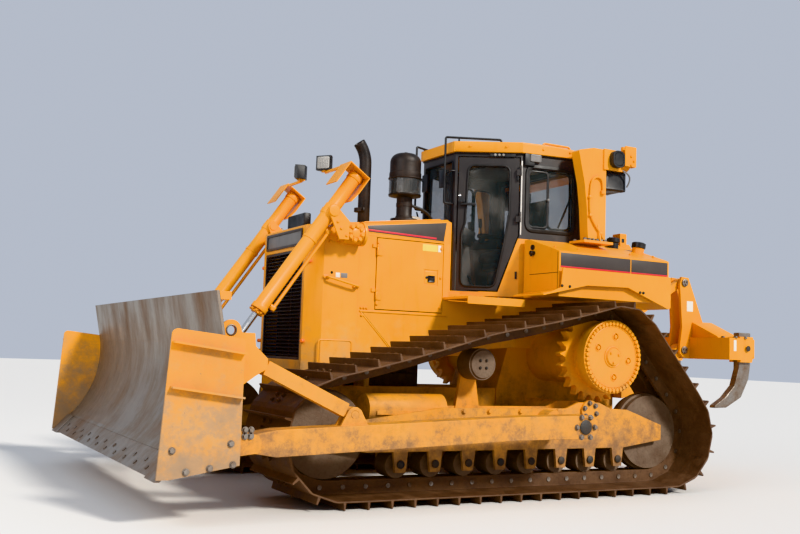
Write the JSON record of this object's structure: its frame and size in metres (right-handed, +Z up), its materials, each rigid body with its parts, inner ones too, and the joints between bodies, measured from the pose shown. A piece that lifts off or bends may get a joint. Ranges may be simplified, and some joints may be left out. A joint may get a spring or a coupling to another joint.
{
  "type": "crawler bulldozer",
  "caption": "Crawler bulldozer with raised drive sprockets, wide tracks, a hydraulic blade, a ripper and an enclosed cab.",
  "frame": {"origin": "on the ground under the middle of the machine's length and width, with the blade and the ripper raised as in the picture", "axes": "+X points to the front where the blade is, +Y to the driver's left, +Z up"},
  "size_m": [6.595, 4.134, 3.366],
  "materials": {
    "yellow_paint": "satin, weathered",
    "dark_paint": "satin",
    "grey_paint": "satin",
    "track_steel": "worn, rusty",
    "worn_steel": "worn",
    "chromed_rod": "polished",
    "cast_metal": "rough",
    "cab_glass": "clear",
    "seat_fabric": "matt",
    "lamp_plastic": "matt"
  },
  "bodies": {
    "machine": {"cab_glass": "cab_glass", "cab_roof": "yellow_paint", "cab_shell": "dark_paint", "control_console": "grey_paint", "engine_block": "cast_metal", "exhaust_stack": "cast_metal", "fenders": "yellow_paint", "firewall": "yellow_paint", "grab_rails": "dark_paint", "hood_cover": "yellow_paint", "lift_yokes": "yellow_paint", "main_frame": "yellow_paint", "operator_seat": "seat_fabric", "platforms": "yellow_paint", "precleaner": "dark_paint", "precleaner_bowl": "cab_glass", "radiator_core": "dark_paint", "radiator_grille": "dark_paint", "radiator_guard": "yellow_paint", "rear_body": "yellow_paint", "ripper_mount": "yellow_paint", "rops_frame": "yellow_paint", "side_lamps": "lamp_plastic", "side_panels": "yellow_paint", "sprockets": "yellow_paint", "track_frames": "yellow_paint", "track_left": "track_steel", "track_right": "track_steel", "track_wheels": "worn_steel"},
    "blade": {"moldboard": "worn_steel", "blade_frame": "yellow_paint", "cutting_edge": "worn_steel", "end_plates": "yellow_paint", "push_arms": "yellow_paint", "braces": "yellow_paint"},
    "lift_cylinder_left": {"lift_barrel_left": "yellow_paint", "lift_guards_left": "yellow_paint", "front_lamp_left": "lamp_plastic"},
    "lift_cylinder_right": {"lift_barrel_right": "yellow_paint", "lift_guards_right": "yellow_paint", "front_lamp_right": "lamp_plastic"},
    "lift_rod_left": {"lift_rod_left": "chromed_rod"},
    "lift_rod_right": {"lift_rod_right": "chromed_rod"},
    "cab_door_left": {"cab_door_left": "dark_paint", "door_glass_left": "cab_glass"},
    "cab_door_right": {"cab_door_right": "dark_paint", "door_glass_right": "cab_glass"},
    "engine_door_left": {"engine_door_left": "yellow_paint"},
    "engine_door_right": {"engine_door_right": "yellow_paint"},
    "ripper_link": {"ripper_lower_link": "yellow_paint"},
    "ripper_stays": {"ripper_upper_links": "yellow_paint"},
    "ripper_carriage": {"ripper_beam": "yellow_paint", "ripper_shanks": "worn_steel"},
    "ripper_cylinders": {"ripper_barrels": "yellow_paint"},
    "ripper_rods": {"ripper_rods": "chromed_rod"}
  },
  "joints": [
    {"name": "blade_lift", "type": "hinge", "parent": "machine", "child": "blade", "pos_m": [-0.3725, 0, 0.64], "axis": [0, -1, 0], "range_deg": [-12.5, 11]},
    {"name": "lift_swing_left", "type": "hinge", "parent": "machine", "child": "lift_cylinder_left", "pos_m": [1.5555, 0.715, 2.41], "axis": [0, -1, 0], "range_deg": [-10.21, 8.99]},
    {"name": "lift_stroke_left", "type": "slide", "parent": "lift_cylinder_left", "child": "lift_rod_left", "axis": [0.5707, 0, -0.8211], "range_m": [-0.4959, 0.5634]},
    {"name": "lift_swing_right", "type": "hinge", "parent": "machine", "child": "lift_cylinder_right", "pos_m": [1.5555, -0.715, 2.41], "axis": [0, -1, 0], "range_deg": [-10.21, 8.99]},
    {"name": "lift_stroke_right", "type": "slide", "parent": "lift_cylinder_right", "child": "lift_rod_right", "axis": [0.5707, 0, -0.8211], "range_m": [-0.4959, 0.5634]},
    {"name": "ripper_lift", "type": "hinge", "parent": "machine", "child": "ripper_link", "pos_m": [-2.1275, 0, 0.944], "axis": [0, -1, 0], "range_deg": [0, 82]},
    {"name": "ripper_stay_swing", "type": "hinge", "parent": "machine", "child": "ripper_stays", "pos_m": [-2.1275, 0, 1.68], "axis": [0, -1, 0], "range_deg": [0, 82]},
    {"name": "ripper_carriage_level", "type": "hinge", "parent": "ripper_link", "child": "ripper_carriage", "pos_m": [-2.8225, 0, 1.352], "axis": [0, -1, 0], "range_deg": [-82, 0]},
    {"name": "ripper_cylinder_swing", "type": "hinge", "parent": "machine", "child": "ripper_cylinders", "pos_m": [-2.0825, 0, 1.8], "axis": [0, -1, 0], "range_deg": [-0.05, 18.83]},
    {"name": "ripper_stroke", "type": "slide", "parent": "ripper_cylinders", "child": "ripper_rods", "axis": [-0.5889, 0, -0.8082], "range_m": [-0.0005, 0.5411]},
    {"name": "cab_door_left_hinge", "type": "hinge", "parent": "machine", "child": "cab_door_left", "pos_m": [-0.49162, 0.67678, 2.78], "axis": [0, 0, 1], "range_deg": [0, 105]},
    {"name": "cab_door_right_hinge", "type": "hinge", "parent": "machine", "child": "cab_door_right", "pos_m": [-0.49162, -0.67678, 2.78], "axis": [0, 0, -1], "range_deg": [0, 105]},
    {"name": "engine_door_left_hinge", "type": "hinge", "parent": "machine", "child": "engine_door_left", "pos_m": [1.0245, 0.6253, 1.9], "axis": [0, 0, -1], "range_deg": [0, 100]},
    {"name": "engine_door_right_hinge", "type": "hinge", "parent": "machine", "child": "engine_door_right", "pos_m": [1.0245, -0.6253, 1.9], "axis": [0, 0, 1], "range_deg": [0, 100]}
  ],
  "couplings": [
    {"joint": "lift_swing_left", "follows": "blade_lift", "ratio": 0.81242},
    {"joint": "lift_stroke_left", "follows": "blade_lift", "m_per_rad": -2.5802},
    {"joint": "lift_swing_right", "follows": "blade_lift", "ratio": 0.81242},
    {"joint": "lift_stroke_right", "follows": "blade_lift", "m_per_rad": -2.5802},
    {"joint": "ripper_stay_swing", "follows": "ripper_lift", "ratio": 1},
    {"joint": "ripper_carriage_level", "follows": "ripper_lift", "ratio": -1},
    {"joint": "ripper_cylinder_swing", "follows": "ripper_lift", "ratio": 0.229},
    {"joint": "ripper_stroke", "follows": "ripper_lift", "m_per_rad": 0.37771}
  ]
}
